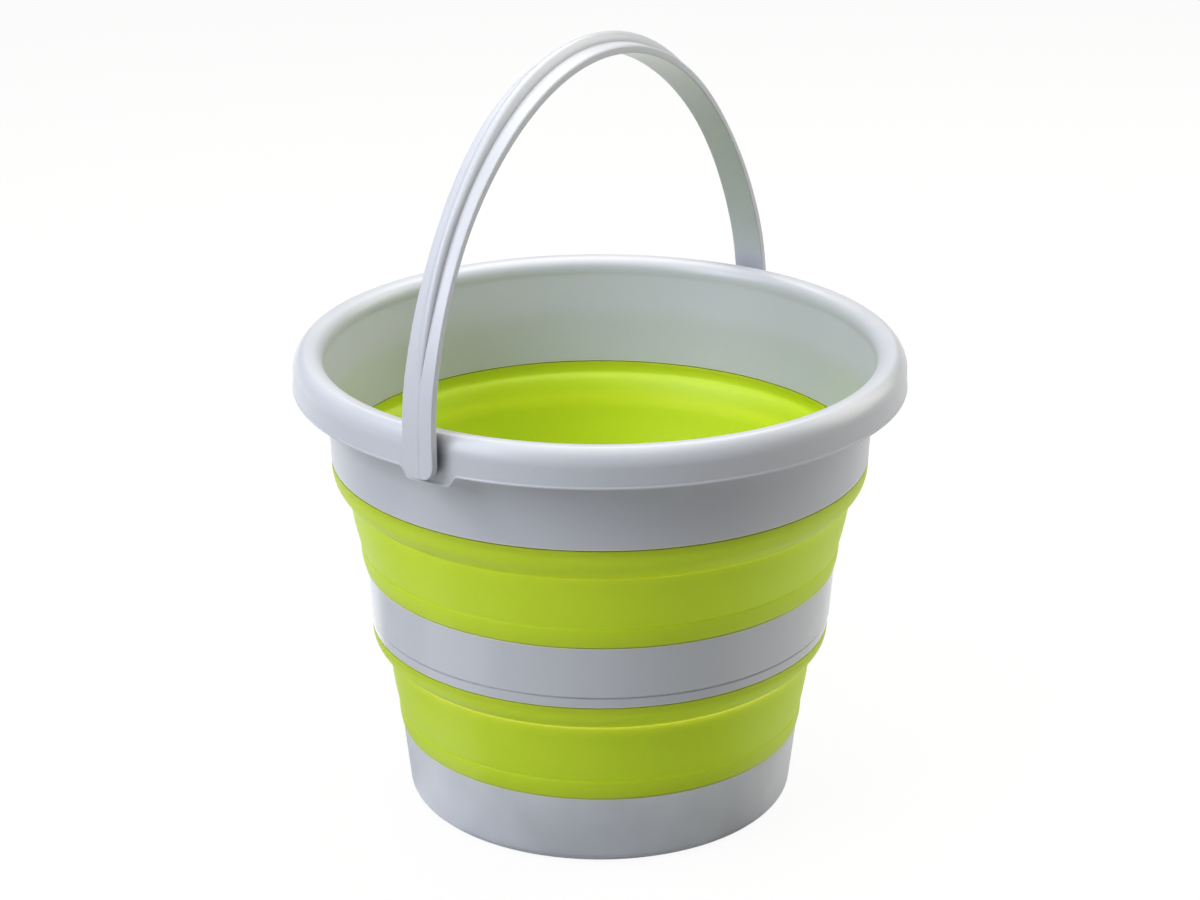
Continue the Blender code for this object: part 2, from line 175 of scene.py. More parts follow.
# %% Make a mesh from a grid
def grid_piece(name, points, rows_close, columns_close, cap_ends=False):
    """points has the shape (columns, rows, 3), in metres. Faces join each point to its neighbours,
    and where a direction closes, its last points join its first."""
    columns, rows = points.shape[:2]
    index = np.arange(columns * rows).reshape(columns, rows)
    if columns_close:
        index = np.vstack([index, index[:1]])
    if rows_close:
        index = np.hstack([index, index[:, :1]])
    quads = np.stack([index[:-1, :-1], index[1:, :-1], index[1:, 1:], index[:-1, 1:]], axis=-1)
    faces = quads.reshape(-1, 4).tolist()
    if cap_ends:
        faces += [index[0, :rows][::-1].tolist(), index[-1, :rows].tolist()]
    mesh = bpy.data.meshes.new(name)
    mesh.from_pydata(points.reshape(-1, 3).tolist(), [], faces)
    mesh.validate()
    piece = bpy.data.objects.new(name, mesh)
    bpy.context.scene.collection.objects.link(piece)
    return tidy(piece)


def tidy(piece, sharp=50):
    """Merges doubled points, drops flat faces, turns all faces outwards and shades the piece smooth."""
    shape = bmesh.new()
    shape.from_mesh(piece.data)
    bmesh.ops.remove_doubles(shape, verts=shape.verts, dist=1e-6)
    bmesh.ops.dissolve_degenerate(shape, edges=shape.edges, dist=1e-7)
    bmesh.ops.recalc_face_normals(shape, faces=shape.faces)
    if shape.calc_volume(signed=True) < 0:
        bmesh.ops.reverse_faces(shape, faces=shape.faces)
    shape.to_mesh(piece.data)
    open_edges = sum(not edge.is_manifold for edge in shape.edges)
    shape.free()
    piece.data.set_sharp_from_angle(angle=np.radians(sharp))
    print(f"{piece.name}: {len(piece.data.polygons)} faces, {open_edges} open edges")
    return piece


def turned(name, profile, angles):
    """A surface of revolution: (radius * cos, radius * sin, height) for every profile point and angle."""
    radius, height = profile[:, 0] * MM, profile[:, 1] * MM
    cos, sin = np.cos(angles)[:, None], np.sin(angles)[:, None]
    points = np.stack([radius * cos, radius * sin, np.broadcast_to(height, (len(angles), len(height)))], -1)
    return grid_piece(name, points, rows_close=True, columns_close=True)


even_turn = np.linspace(0, 2 * np.pi, 288, endpoint=False)
print("a turned piece has", len(even_turn), "steps round")

# %% [markdown]
# ## Where hard meets soft
#
# The soft bands are moulded over the rings in a second shot. Each ring edge has a thin tongue, which
# the soft plastic wraps on both sides. From outside only a fine dark line shows, because the two edges
# that meet there are both slightly rounded.

# %% The two mating edges
TONGUE, TONGUE_LENGTH, SEAM_GAP = 0.8, 3.0, 0.3


def tongue(radius, height, way):
    """A ring's edge: its face, then the tongue that stands out of it. way is 1 up or -1 down."""
    middle, half, tip = radius - WALL / 2, TONGUE / 2, height + way * TONGUE_LENGTH
    return [(radius, height, 0.45), (middle + half, height, 0.1), (middle + half, tip, 0.25),
            (middle - half, tip, 0.25), (middle - half, height, 0.1), (radius - WALL, height, 0.45)]


def socket(radius, height, way):
    """A band's edge: its lips either side of the slot that takes the tongue."""
    middle, half, floor = radius - WALL / 2, TONGUE / 2 + SEAM_GAP, height + way * TONGUE_LENGTH
    return [(radius, height, 0.3), (middle + half, height, 0.1), (middle + half, floor, 0.2),
            (middle - half, floor, 0.2), (middle - half, height, 0.1), (radius - WALL, height, 0.3)]


print("tongue:", TONGUE, "mm thick, in a slot of", round(TONGUE + 2 * SEAM_GAP, 1), "mm")

# %% [markdown]
# ## Base cup
#
# The bottom of the bucket is a shallow hard cup. It stands on a narrow ring, and the floor inside that
# ring is lifted a little, so the bucket doesn't rock on stones. It is a profile turned about the axis,
# with the dimple of the mould's gate at the middle of the underside.

# %% Turn the base cup
base_outline = tongue(BASE_RADIUS, SEAM_BASE, 1)[::-1] + [
    (101.8, 0.0, 6.0), (89.8, 0.0, 0.5), (88.4, 1.4, 0.5), (5.2, 1.4, 0.3), (4.6, 0.9, 0.2), (3.6, 0.9, 0.3),
    (3.2, 1.7, 0.3), (0.02, 1.7, 0.0), (0.02, 4.0, 0.0), (99.8, 4.0, 5.5)]
base_profile = filled_in(rounded(base_outline, 8), 3.0)
base_cup = turned("base_cup_shell", base_profile, even_turn)

# %% [markdown]
# ## Soft bands
#
# A soft band hangs from the ring above it. First comes a shoulder that turns in later and later, until
# it stops at a crease. From there a full, bulging wall runs down to a second crease, over a short lip
# on the ring below. Those two creases are why it folds: pushed down, the shoulder rolls over the wall.
#
# The outer side is three such falling lines with nearly crisp creases, and a fine groove runs round
# just under the lower crease. The inner side starts with a straight strip, which ends on a shelf. The
# shelf slopes in at once and grows ever steeper, because the rubber fills its own corner there, and it
# runs into the same wall as outside, one wall's thickness further in.

# %% Work out the section of a soft band
BAND_WALL, BAND_BEAD = 1.6, 4.5
SHELF_DROP, SHELF_REACH = 6.6, 5.5
SHOULDER_POWER, WALL_POWER, LIP_POWER, SHELF_POWER = 2.8, 1.45, 2.4, 0.5
GROOVE_DEPTH, GROOVE_DROP, GROOVE_WIDTH = 0.55, 0.9, 0.45


def band_profile(top_radius, top, low_radius, low, inset, drop, flare, lip):
    """inset and drop place the upper crease under the upper seam, flare and lip the lower crease over the
    lower seam. The groove is its depth times exp of less the square of distance / width."""
    top, low = top - SEAM_GAP, low + SEAM_GAP
    crease, knee = (top_radius - inset, top - drop), (low_radius + flare, low + lip)
    shoulder = falling((top_radius, top), crease, SHOULDER_POWER)
    wall = falling(crease, knee, WALL_POWER, 30)
    lip_line = falling(knee, (low_radius + 0.25, low), LIP_POWER, 40)
    from_groove = knee[1] - lip_line[:, 1] - GROOVE_DROP
    lip_line[:, 0] -= GROOVE_DEPTH * np.exp(-(from_groove / GROOVE_WIDTH) ** 2)
    outer = softened(np.vstack([shoulder, wall[1:], lip_line[1:]]), 0.35)
    strip, foot = top_radius - WALL, low_radius - WALL
    below = wall[wall[:, 1] < crease[1] - SHELF_REACH] - [BAND_WALL, 0.0]
    shelf = falling((strip, top - SHELF_DROP), below[0], SHELF_POWER, 40)
    inner = np.vstack([[[strip, top - 1.0]], shelf[:-1], below, [[foot, low + BAND_BEAD]]])
    inner = np.vstack([softened(inner, 1.0), [[foot, low]]])
    down, up = (np.column_stack([line, np.zeros(len(line))]).tolist() for line in (outer, inner[::-1]))
    rows = down[1:] + socket(low_radius, low, 1)[1:] + up[1:] + socket(top_radius, top, -1)[::-1]
    return filled_in(rounded(rows, 5), 1.6)


print("wall of a band:", BAND_WALL, "mm, shelf:", SHELF_DROP, "mm under the seam")

# %% [markdown]
# Both bands have the same section with other sizes. The upper one's crease lies deeper under its seam.

# %% Turn the two soft bands
upper_profile = band_profile(COLLAR_RADIUS, SEAM_COLLAR, RING_TOP_RADIUS, SEAM_RING_TOP,
                             inset=8.55, drop=18.0, flare=2.0, lip=12.0)
lower_profile = band_profile(RING_LOW_RADIUS, SEAM_RING_LOW, BASE_RADIUS, SEAM_BASE,
                             inset=8.58, drop=14.3, flare=1.75, lip=11.5)
upper_band = turned("upper_band_skin", upper_profile, even_turn)
lower_band = turned("lower_band_skin", lower_profile, even_turn)

# %% [markdown]
# ## Middle ring
#
# The hoop between the bands is glossier than the rest. A fine groove runs round it just above its lower
# edge, and below the groove the edge is a small step narrower, like a hem.

# %% Turn the middle ring
GROOVE_TOP, GROOVE_FLOOR, HEM_TOP = SEAM_RING_LOW + 6.5, SEAM_RING_LOW + 5.8, SEAM_RING_LOW + 5.0
ring_outline = tongue(RING_TOP_RADIUS, SEAM_RING_TOP, 1)[::-1] + [
    (RING_LOW_RADIUS + 1.05, GROOVE_TOP, 0.35), (RING_LOW_RADIUS + 0.1, GROOVE_FLOOR, 0.15),
    (RING_LOW_RADIUS + 0.5, HEM_TOP, 0.5)] + tongue(RING_LOW_RADIUS, SEAM_RING_LOW, -1)
mid_ring = turned("mid_ring_hoop", filled_in(rounded(ring_outline, 6), 2.5), even_turn)

# %% [markdown]
# ## Rim collar
#
# The top ring flares up to a rolled rim. The roll is an arch in section, drawn from two quarters of
# superellipses that share a crest, and its outer side hangs down as a skirt. Under each ear of the bail the
# skirt drops in a small tab with flowing sides. The tab is a function of the angle: the skirt's lower
# edge is moved down by an amount that eases in and out across it, so it needs no cutting.

# %% Draw the roll and the tabs
ROLL_RADIUS, ROLL_FOOT, RIM_TOP = 151.6, 239.0, 247.9
ROLL_INNER, ROLL_OUTER, SKIRT_WALL = 9.2, 6.4, 2.2
SKIRT_RADIUS, SKIRT_FOOT, NECK_HEIGHT, NECK_FLARE = 158.0, 228.4, 218.0, 1.4
TAB_DROP, TAB_HALF, TAB_FLOW = 5.6, 11.2, 5.4


def tab_drop(angles):
    """How far the skirt's lower edge hangs below the rest: the full drop within TAB_HALF either side of a
    pivot, none from TAB_FLOW further on, and an even S between."""
    across = np.abs(np.sin(angles)) * SKIRT_RADIUS
    return TAB_DROP * (1 - ease((across - TAB_HALF) / TAB_FLOW))


def collar_angles():
    """Even steps of a turn, with finer ones near the pivots, where the skirt's edge changes fast."""
    fine = np.radians(np.arange(-8, 8.01, 0.25))
    coarse = np.radians(np.linspace(8, 172, 132)[1:-1])
    return np.concatenate([fine, coarse, fine + np.pi, coarse + np.pi])


def roll(inset, steps):
    """The roll's section from its outer foot over the crest to its inner foot, that share of the wall
    inside the surface. Its outer side is flatter than an ellipse, its inner side squarer."""
    rise = RIM_TOP - ROLL_FOOT - inset * WALL
    outer = quarter((ROLL_RADIUS, ROLL_FOOT), (ROLL_OUTER - inset * SKIRT_WALL, rise), 0, 90, steps, 1.65)
    inner = quarter((ROLL_RADIUS, ROLL_FOOT), (ROLL_INNER - inset * WALL, rise), 90, 180, steps, 2.6)
    return np.vstack([outer, inner[1:]])


print("roll:", round(ROLL_INNER + ROLL_OUTER, 1), "mm across,", round(RIM_TOP - ROLL_FOOT, 1), "mm tall")

# %% [markdown]
# The whole section is one closed line: over the roll, down the inner wall to the tongue, up the outer
# wall, and back under the roll to the skirt's lower edge. A very large rounding lets the wall flare out
# at the neck without a corner.

# %% Turn the rim collar and let its tabs down
roll_over = softened(np.vstack([[[SKIRT_RADIUS + 0.15, SKIRT_FOOT + 1.5]], roll(0, 40)]), 0.45)
roll_under = roll(1, 24)[::-1]
neck = COLLAR_RADIUS + NECK_FLARE
collar_rows = [tuple(row) + (0.0,) for row in roll_over] + [(neck - WALL, NECK_HEIGHT, 100.0)]
collar_rows += tongue(COLLAR_RADIUS, SEAM_COLLAR, -1)[::-1] + [(neck, NECK_HEIGHT, 100.0)]
collar_rows += [tuple(row) + (0.0,) for row in roll_under]
collar_rows += [(SKIRT_RADIUS - SKIRT_WALL, SKIRT_FOOT, 0.5), (SKIRT_RADIUS + 0.55, SKIRT_FOOT, 0.5),
                (SKIRT_RADIUS + 0.5, SKIRT_FOOT + 0.9, 0.3)]
collar_profile = filled_in(rounded(collar_rows, 6), 2.2)


def collar_grid(profile, angles):
    """The turned collar, with each skirt point moved down by the tab's drop times an ease that is 1 at
    the skirt's lower edge and 0 where the roll begins."""
    radius, height = profile[:, 0], profile[:, 1]
    on_skirt = (radius > ROLL_RADIUS) * ease((ROLL_FOOT - 1 - height) / (ROLL_FOOT - 1 - SKIRT_FOOT))
    drop = tab_drop(angles)[:, None] * on_skirt[None, :]
    cos, sin = np.cos(angles)[:, None], np.sin(angles)[:, None]
    return np.stack([radius * cos, radius * sin, height[None, :] - drop], -1) * MM


rim_collar = grid_piece("rim_collar_shell", collar_grid(collar_profile, collar_angles()), True, True)

# %% [markdown]
# The pivots of the bail pass through a hole in each tab. A drill is the simplest tool for a round hole,
# here as in a workshop: a short cylinder on each side is taken away from the skirt, and is then thrown
# away itself.

# %% Bore the pivot holes
PIVOT_HEIGHT, BORE_RADIUS, BORE_STEPS = 234.0, 3.5, 48


def bored(piece, radius, reach):
    """Cuts a round hole along X at the pivot's height on either side, between the two distances in reach,
    and keeps the result as a plain mesh."""
    angle = np.linspace(0, 2 * np.pi, BORE_STEPS, endpoint=False)
    ring = np.column_stack([radius * np.cos(angle), PIVOT_HEIGHT + radius * np.sin(angle)])
    for sign in (-1, 1):
        ends = sign * np.array(reach)[:, None]
        points = np.stack(np.broadcast_arrays(ends, ring[None, :, 0], ring[None, :, 1]), -1) * MM
        cutter = grid_piece(f"bore_{sign}", points, True, False, cap_ends=True)
        cut = piece.modifiers.new("bore", "BOOLEAN")
        cut.operation, cut.solver, cut.object = "DIFFERENCE", "EXACT", cutter
        settled = bpy.data.meshes.new_from_object(piece.evaluated_get(bpy.context.evaluated_depsgraph_get()))
        piece.modifiers.clear()
        piece.data = settled
        bpy.data.objects.remove(cutter)
    return piece


bored(rim_collar, BORE_RADIUS, (150.0, 165.0))
rim_collar.data.set_sharp_from_angle(angle=np.radians(50))

# %% [markdown]
# Two thin webs under the rim stand beside each pivot and keep the tab from bending when the bucket is
# carried full. They only show from below.

# %% Stand the webs beside the pivots
WEB_HALF, WEB_ROOT, WEB_PLACE = 0.8, 0.8, 12.5


def web(name, side, offset):
    """A plate twice WEB_HALF thick that fills the arch of the rim between the roll's two feet, and runs
    WEB_ROOT into the collar's wall."""
    crest = roll(0.5, 14)[::-1]
    foot = SKIRT_FOOT + 2 * WEB_HALF
    outline = np.vstack([[crest[0, 0] - WEB_ROOT, foot], crest, [crest[-1, 0], foot]])
    thick = np.array([[offset - WEB_HALF], [offset + WEB_HALF]])
    points = np.stack(np.broadcast_arrays(side * outline[:, 0], thick, outline[:, 1]), -1) * MM
    return grid_piece(name, points, True, False, cap_ends=True)


webs = [web(f"rim_web_{n}", side, offset) for n, (side, offset) in
        enumerate([(-1, -WEB_PLACE), (-1, WEB_PLACE), (1, -WEB_PLACE), (1, WEB_PLACE)])]

# %% [markdown]
# ## Bail
#
# The bail is a moulded strap, flat on the inside so that it fits a hand, and stiffened on the outside
# by a rounded bead between two margins that fall slightly to the edges. It grows wider and thicker
# towards the top, where the hand takes it. Above each ear the bead ends in a long point, and from there
# down only a faint ridge is left. The path is half an ellipse whose feet are bent in a little, so that
# the ears lie close to the skirt. The section is a function of the height, so the strap is one grid.

# %% Work out the path of the bail
ARCH_HALF, ARCH_BASE, ARCH_RISE, BAIL_LEAN = 163.9, 219.5, 176.6, -3.3
EAR_FOOT, EAR_BEND, BEND_REACH = 227.5, 1.6, 34.0
EAR_SWEEP, EAR_STATIONS = 0.045, 28


def bail_path(stations=260):
    """Points (x, height) of the inner face and its outward directions, from the left ear over the top to
    the right one: the ellipse (-ARCH_HALF cos t, ARCH_BASE + ARCH_RISE sin t), from the ears' foot up. The
    first steps are fine, because the ears' corners are rounded there. Below BEND_REACH over the pivot, x
    is drawn in by up to EAR_BEND on an even S."""
    first = np.arcsin((EAR_FOOT - ARCH_BASE) / ARCH_RISE)
    second = first + EAR_SWEEP
    ear = np.linspace(first, second, EAR_STATIONS)[:-1]
    t = np.concatenate([ear, np.linspace(second, np.pi - second, stations), np.pi - ear[::-1]])
    out = np.column_stack([-ARCH_RISE * np.cos(t), ARCH_HALF * np.sin(t)])
    out = out / np.linalg.norm(out, axis=1, keepdims=True)
    height = ARCH_BASE + ARCH_RISE * np.sin(t)
    bend = EAR_BEND * (1 - ease((height - PIVOT_HEIGHT) / BEND_REACH))
    return np.column_stack([np.sign(-np.cos(t)) * (ARCH_HALF * np.abs(np.cos(t)) - bend), height]), out


bail_line, bail_outward = bail_path()
print("bail path:", len(bail_line), "stations, up to", round(bail_line[:, 1].max(), 1), "mm")

# %% [markdown]
# The section is worked out for half of the strap and mirrored, so that both margins are alike. Every
# size in it is a smooth function of the height, which is what makes the bead run out in a point.

# %% Work out the section of the bail
BEAD_FOOT, BEAD_TALL, BEAD_FILLET, BEAD_FLOW = 273.0, 3.2, 0.5, 0.45
EAR_ROUND, EAR_TIP, TIP_DRAW, MARGIN_FALL = 6.6, 0.8, 0.6, 0.98
EAR_HALF, TOP_WIDENS, FOOT_NARROWS = 8.57, 2.6, 5.8
EAR_THICK, LEG_THINS, TOP_THICKENS = 4.4, 0.4, 1.25
RIDGE_HALF, RIDGE_TALL = 0.9, 0.15


def bail_section(height, arc=9, flat=10, bow=15):
    """Across and out for every station (rows) and every step round the section (columns).

    Half of the outer side runs from the edge to the middle: a rounded edge (edge * sin, edge * cos), a
    margin that falls by the square of its place, and a quarter of the bead's ellipse (wide * cos,
    tall * sin). The other half mirrors it. The bead grows from its point as 1 less a power of the way
    left, and a small fillet, exp(-distance / BEAD_FLOW), joins it to the margins. Both ears end in round
    corners: half falls, and the faces draw in, by 1 less the root of 1 less the way squared."""
    h = height[:, None]
    up = h - BEAD_FOOT
    crown = ease((h - 325.0) / 85.0)
    grown = 1 - (1 - np.clip(up / 70.0, 0, 1)) ** 2
    below = np.clip((EAR_FOOT + EAR_ROUND - h) / EAR_ROUND, 0, 1)
    end = np.clip((EAR_FOOT + EAR_TIP - h) / EAR_TIP, 0, 1)
    half = EAR_HALF + TOP_WIDENS * crown - FOOT_NARROWS * (1 - np.sqrt(1 - below**2))
    thick = EAR_THICK - LEG_THINS * ease((h - 240.0) / 80.0) + TOP_THICKENS * ease((h - 310.0) / 95.0)
    wide = RIDGE_HALF + 1.8 * (1 - (1 - np.clip(up / 50.0, 0, 1)) ** 3) + 1.1 * ease((h - 325.0) / 60.0)
    tall = RIDGE_TALL + BEAD_TALL * grown + 2.3 * ease((h - 345.0) / 55.0)
    edge = 0.6 + 0.4 * crown
    swing = np.linspace(np.pi / 2, 0, arc)[None, :-1]
    even = np.linspace(0, 1, flat)[None, :-1]
    turn = np.linspace(0, np.pi / 2, bow)[None, :]
    rim = half - edge + edge * np.sin(swing)
    margin = (half - edge) + (wide - half + edge) * even
    place = np.hstack([rim, margin, wide * np.cos(turn)])
    fall = MARGIN_FALL * np.clip(up / 60.0, 0, 1) * (place / half) ** 2
    fillet = BEAD_FILLET * grown
    rise = np.hstack([edge * np.cos(swing) - edge, 0 * margin, np.maximum(tall - fillet, 0) * np.sin(turn)])
    rise = rise + fillet * np.exp(-np.clip(place - wide, 0, None) / BEAD_FLOW) - fall
    drawn_in = TIP_DRAW * (1 - np.sqrt(1 - end**2))
    out = thick + rise - drawn_in
    inner = np.hstack([0.5 * (1 - np.cos(swing)) + 0 * rim, 0 * margin, 0 * place[:, -bow:]])
    inner = np.maximum(inner, drawn_in)
    halves = (-place, place), (out, out), (inner, inner)
    return [np.hstack([side, other[:, -2::-1]]) for side, other in halves]


across, top, under = bail_section(bail_line[:, 1])
ring_across = np.hstack([across, across[:, ::-1]])
ring_out = np.hstack([top, under[:, ::-1]])
print("strap:", round(2 * across[len(across) // 2].max(), 1), "mm wide at the top")

# %% [markdown]
# The strap's grid is its path plus the section, carried along the path's outward direction. In the
# picture the bail stands a few degrees off the vertical, so the whole strap leans about its pivots.

# %% Loft the bail and lean it
def leaned(points):
    """Turns points about the pivot axis, which runs along X at the pivot's height, by the rest lean."""
    angle = np.radians(BAIL_LEAN)
    y, z = points[..., 1], points[..., 2] - PIVOT_HEIGHT * MM
    return np.stack([points[..., 0], y * np.cos(angle) - z * np.sin(angle),
                     y * np.sin(angle) + z * np.cos(angle) + PIVOT_HEIGHT * MM], -1)


strap_points = np.stack([
    bail_line[:, :1] + ring_out * bail_outward[:, :1], ring_across,
    bail_line[:, 1:] + ring_out * bail_outward[:, 1:]], -1) * MM
strap = grid_piece("bail_strap", leaned(strap_points), True, False, cap_ends=True)

# %% [markdown]
# Each ear carries a round boss on its inner side, and from that boss a pin passes through the skirt
# and ends in a rounded head, which snaps in once and then turns freely. Both are turned about the
# pivot axis.

# %% Turn the two snap pins
BOSS_RADIUS, PIN_RADIUS, HEAD_RADIUS, PIN_STEPS = 5.0, 3.2, 4.2, 56
BOSS_FACE, PIN_END, HEAD_FACE = 158.5, 155.7, 153.4


def snap_pin(name, side):
    """A profile of (radius, distance from the bucket's axis, rounding), turned about the pivot axis: the
    boss from inside the strap to its face, then the pin, then its head."""
    rows = [(0.02, 165.0, 0.0), (BOSS_RADIUS + 0.4, 165.0, 0.0), (BOSS_RADIUS, 161.8, 0.4),
            (BOSS_RADIUS, BOSS_FACE, 0.5), (PIN_RADIUS, BOSS_FACE, 0.2), (PIN_RADIUS, PIN_END, 0.1),
            (HEAD_RADIUS, PIN_END, 0.3), (HEAD_RADIUS - 0.3, HEAD_FACE + 1.0, 0.5),
            (HEAD_RADIUS - 1.8, HEAD_FACE, 0.4), (0.02, HEAD_FACE, 0.0)]
    radius, away = filled_in(rounded(rows, 6), 1.2).T
    angle = np.linspace(0, 2 * np.pi, PIN_STEPS, endpoint=False)[:, None]
    points = np.broadcast_arrays(side * away, radius * np.cos(angle), PIVOT_HEIGHT + radius * np.sin(angle))
    return grid_piece(name, np.stack(points, -1) * MM, True, True)


pins = [snap_pin("snap_pin_left", -1), snap_pin("snap_pin_right", 1)]

# %% [markdown]
# ## What the finishes share
#
# Moulded plastic has a very fine, even unevenness that only shows in reflections, called orange peel,
# and a broad cloudiness where the melt cooled at different speeds. Handling adds sparse fine scuffs.
# These are worked out once, in a node group, from the piece's own coordinates in metres.

# %% The moulded skin group
def group(name, inputs, outputs):
    """An empty node group with float inputs (name, value) and float outputs, and its two end nodes."""
    made = bpy.data.node_groups.new(name, "ShaderNodeTree")
    for label, value in inputs:
        made.interface.new_socket(label, in_out="INPUT", socket_type="NodeSocketFloat").default_value = value
    for label in outputs:
        made.interface.new_socket(label, in_out="OUTPUT", socket_type="NodeSocketFloat")
    return made, made.nodes.new("NodeGroupInput"), made.nodes.new("NodeGroupOutput")


def node(tree, kind, inputs=None, **settings):
    """Adds a node, sets its properties, and fills its inputs: a socket is linked, a value is set."""
    made = tree.nodes.new(kind)
    for key, value in settings.items():
        setattr(made, key, value)
    for key, value in (inputs or {}).items():
        if isinstance(value, bpy.types.NodeSocket):
            tree.links.new(value, made.inputs[key])
        else:
            made.inputs[key].default_value = value
    return made


def skin_group():
    """Cloud: broad soft noise, 0 to 1. Peel: orange peel and micro grain as a height, 0 to 1.
    Scuff: a mask of sparse fine streaks."""
    tree, given, result = group("moulded_skin", [("Peel scale", 420.0), ("Cloud scale", 14.0)],
                                ["Cloud", "Peel", "Scuff"])
    place = node(tree, "ShaderNodeTexCoord").outputs["Object"]
    cloud = node(tree, "ShaderNodeTexNoise", {"Vector": place, "Scale": given.outputs["Cloud scale"],
                                              "Detail": 3.0, "Roughness": 0.45})
    peel = node(tree, "ShaderNodeTexNoise", {"Vector": place, "Scale": given.outputs["Peel scale"],
                                             "Detail": 2.0, "Roughness": 0.5})
    grain = node(tree, "ShaderNodeTexNoise", {"Vector": place, "Scale": 3200.0, "Detail": 1.0})
    height = node(tree, "ShaderNodeMath", {0: grain.outputs["Fac"], 1: 0.22, 2: peel.outputs["Fac"]},
                  operation="MULTIPLY_ADD")
    stretched = node(tree, "ShaderNodeMapping", {"Vector": place, "Rotation": (0.5, 0.3, 0.9),
                                                 "Scale": (1.0, 1.0, 0.12)})
    streak = node(tree, "ShaderNodeTexNoise", {"Vector": stretched.outputs["Vector"], "Scale": 700.0,
                                               "Detail": 2.0, "Distortion": 0.6})
    patch = node(tree, "ShaderNodeTexNoise", {"Vector": place, "Scale": 30.0, "Detail": 1.0})
    fine = node(tree, "ShaderNodeMapRange", {"Value": streak.outputs["Fac"], "From Min": 0.66,
                                             "From Max": 0.74})
    spread = node(tree, "ShaderNodeMapRange", {"Value": patch.outputs["Fac"], "From Min": 0.5,
                                               "From Max": 0.68})
    scuff = node(tree, "ShaderNodeMath", {0: fine.outputs["Result"], 1: spread.outputs["Result"]},
                 operation="MULTIPLY")
    tree.links.new(cloud.outputs["Fac"], result.inputs["Cloud"])
    tree.links.new(height.outputs["Value"], result.inputs["Peel"])
    tree.links.new(scuff.outputs["Value"], result.inputs["Scuff"])
    return tree


moulded_skin = skin_group()
print("moulded_skin:", len(moulded_skin.nodes), "nodes")

# %% [markdown]
# Each seam gets a painted line. A hard ring is thin where the soft plastic was moulded on, and the lighter,
# yellowish line at its very edge is painted light, for the light that catches the rounded edge and the green
# that shines through it. On a soft band the line is darker, painted shade for the seam's groove.
# This group gives a mask that is 1 at a height on the piece and fades within a small reach.

# %% The seam edge group
def seam_group():
    """Mask: 1 less an even S of the distance from the given height, over the reach."""
    tree, given, result = group("seam_edge", [("Height", 0.0), ("Reach", 0.001)], ["Mask"])
    place = node(tree, "ShaderNodeTexCoord").outputs["Object"]
    z = node(tree, "ShaderNodeSeparateXYZ", {"Vector": place}).outputs["Z"]
    off = node(tree, "ShaderNodeMath", {0: z, 1: given.outputs["Height"]}, operation="SUBTRACT")
    away = node(tree, "ShaderNodeMath", {0: off.outputs["Value"]}, operation="ABSOLUTE")
    share = node(tree, "ShaderNodeMath", {0: away.outputs["Value"], 1: given.outputs["Reach"]},
                 operation="DIVIDE")
    mask = node(tree, "ShaderNodeMapRange", {"Value": share.outputs["Value"], "From Min": 0.4,
                                             "From Max": 1.0, "To Min": 1.0, "To Max": 0.0},
                interpolation_type="SMOOTHSTEP")
    tree.links.new(mask.outputs["Result"], result.inputs["Mask"])
    return tree


seam_edge = seam_group()
print("seam_edge:", len(seam_edge.nodes), "nodes")

# %% [markdown]
# ## Finishes
#
# Two plastics make the whole bucket: a light blue-grey hard one and a lime green soft one. Each piece
# gets its own material, because their gloss differs: the middle ring left a polished mould, the base
# cup a finely sparked one, and the soft bands are matt. Light enters the soft rubber and comes out
# beside the spot, which is what Subsurface gives, and a very weak painted glow of its own colour stands
# for the light that crosses the whole wall. The narrow corners of the collar and the ring are darkened
# with painted shade. An Ambient Occlusion node finds them, and because it sees the neighbouring pieces too,
# the shadow beside the bail's ears and the shade under the skirt are painted into the collar's colour.

# %% Build the finishes
def screen(red, green, blue):
    """The linear colour for 0 to 255 screen values."""
    c = np.array([red, green, blue]) / 255
    linear = np.where(c <= 0.04045, c / 12.92, ((c + 0.055) / 1.055) ** 2.4)
    return (*linear.tolist(), 1.0)


# Painted shade: the colour that narrow corners, and spots that neighbouring pieces hide, are darkened
# towards. The reach is given here, and the occlusion values where the darkening starts and where it is full.
PAINTED_CORNER_SHADE = screen(52, 54, 62)
PAINTED_SHADE_REACH, PAINTED_SHADE_STARTS, PAINTED_SHADE_FULL = 12.0, 0.82, 0.42
SEAM_REACH, SCUFF_ROUGHNESS, SCATTER_DEPTH = 1.0, 0.18, 4.0
CLOUD_RANGE = {"From Min": 0.3, "From Max": 0.7}


